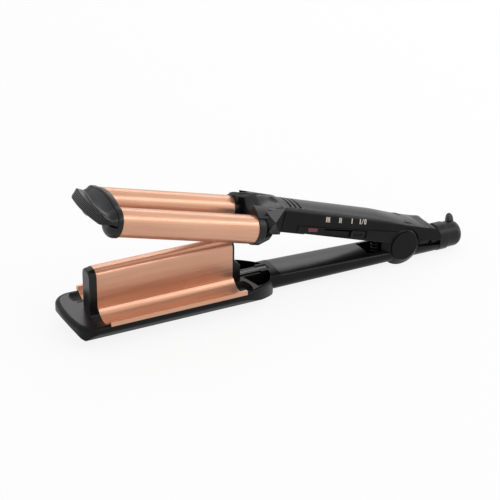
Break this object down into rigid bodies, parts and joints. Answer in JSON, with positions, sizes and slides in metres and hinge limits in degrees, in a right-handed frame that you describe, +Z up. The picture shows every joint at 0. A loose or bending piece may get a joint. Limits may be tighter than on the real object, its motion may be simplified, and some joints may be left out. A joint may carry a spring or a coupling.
{
  "type": "hair waver",
  "caption": "Sprung two-arm hair waving iron: upper barrels close into a heated ridge plate, with a heat slider on the handle and a swivelling cord gland.",
  "frame": {"origin": "centre of the flat keel under the ridge tray, on the table", "axes": "+X from the tips to the cord end, +Y away from the switch side, +Z up"},
  "size_m": [0.3495, 0.067, 0.1111],
  "materials": {
    "rose_gold": "satin metallic ceramic coat, rose gold",
    "casing": "satin black moulded plastic",
    "cover": "satin black moulded plastic",
    "heatproof": "satin black heat-resistant plastic",
    "grip": "matt black plastic with fine ridges",
    "switch_panel": "dark moulded plastic",
    "slider": "dark moulded plastic",
    "hinge_disc": "matt black plastic disc",
    "swivel": "black plastic",
    "tab": "dark grey plastic",
    "bare_aluminium": "bare extruded aluminium",
    "heater": "foil-wrapped ceramic heater bar",
    "steel": "plated steel",
    "bush": "plain bearing metal",
    "lens": "translucent red plastic",
    "lamp": "clear red epoxy",
    "board": "printed circuit board"
  },
  "bodies": {
    "lower_arm": {"lower_housing": "casing", "ridge_plate": "rose_gold", "ridge_front_cap": "heatproof", "ridge_rear_cap": "heatproof", "ridge_heater_clamp": "bare_aluminium", "ridge_heater": "heater", "lower_handle_cover": "cover", "hinge_pin": "steel", "hinge_cap_near": "hinge_disc", "hinge_cap_far": "hinge_disc", "return_spring": "steel", "housing_screws": "steel", "swivel_retainer": "swivel"},
    "upper_arm": {"upper_housing": "casing", "upper_top_cover": "cover", "switch_cover": "switch_panel", "barrel_holder": "heatproof", "barrel_near": "rose_gold", "barrel_far": "rose_gold", "spreader_near": "bare_aluminium", "spreader_far": "bare_aluminium", "heater_near": "heater", "heater_far": "heater", "barrel_end_near": "heatproof", "barrel_end_far": "heatproof", "tip_guard": "heatproof", "tip_grip": "grip", "indicator_lens": "lens", "indicator_lamp": "lamp", "circuit_board": "board", "slide_switch": "slider", "hinge_bush": "bush"},
    "slider": {"heat_slider": "slider"},
    "swivel": {"cord_gland": "swivel", "swivel_collar": "swivel", "hang_tab": "tab"}
  },
  "joints": [
    {"name": "arm_hinge", "type": "hinge", "parent": "lower_arm", "child": "upper_arm", "pos_m": [0.205, 0, 0.0185], "axis": [0, -1, 0], "range_deg": [0, 11.5], "stiffness_Nm_per_rad": 1.5, "springref_deg": -17.19, "deforming": ["return_spring"]},
    {"name": "heat_slide", "type": "slide", "parent": "upper_arm", "child": "slider", "axis": [-0.9659, 0, 0.2588], "range_m": [0, 0.0255]},
    {"name": "cord_turn", "type": "hinge", "parent": "lower_arm", "child": "swivel", "pos_m": [0.242, 0, 0.0117], "axis": [1, 0, 0], "continuous": true}
  ]
}
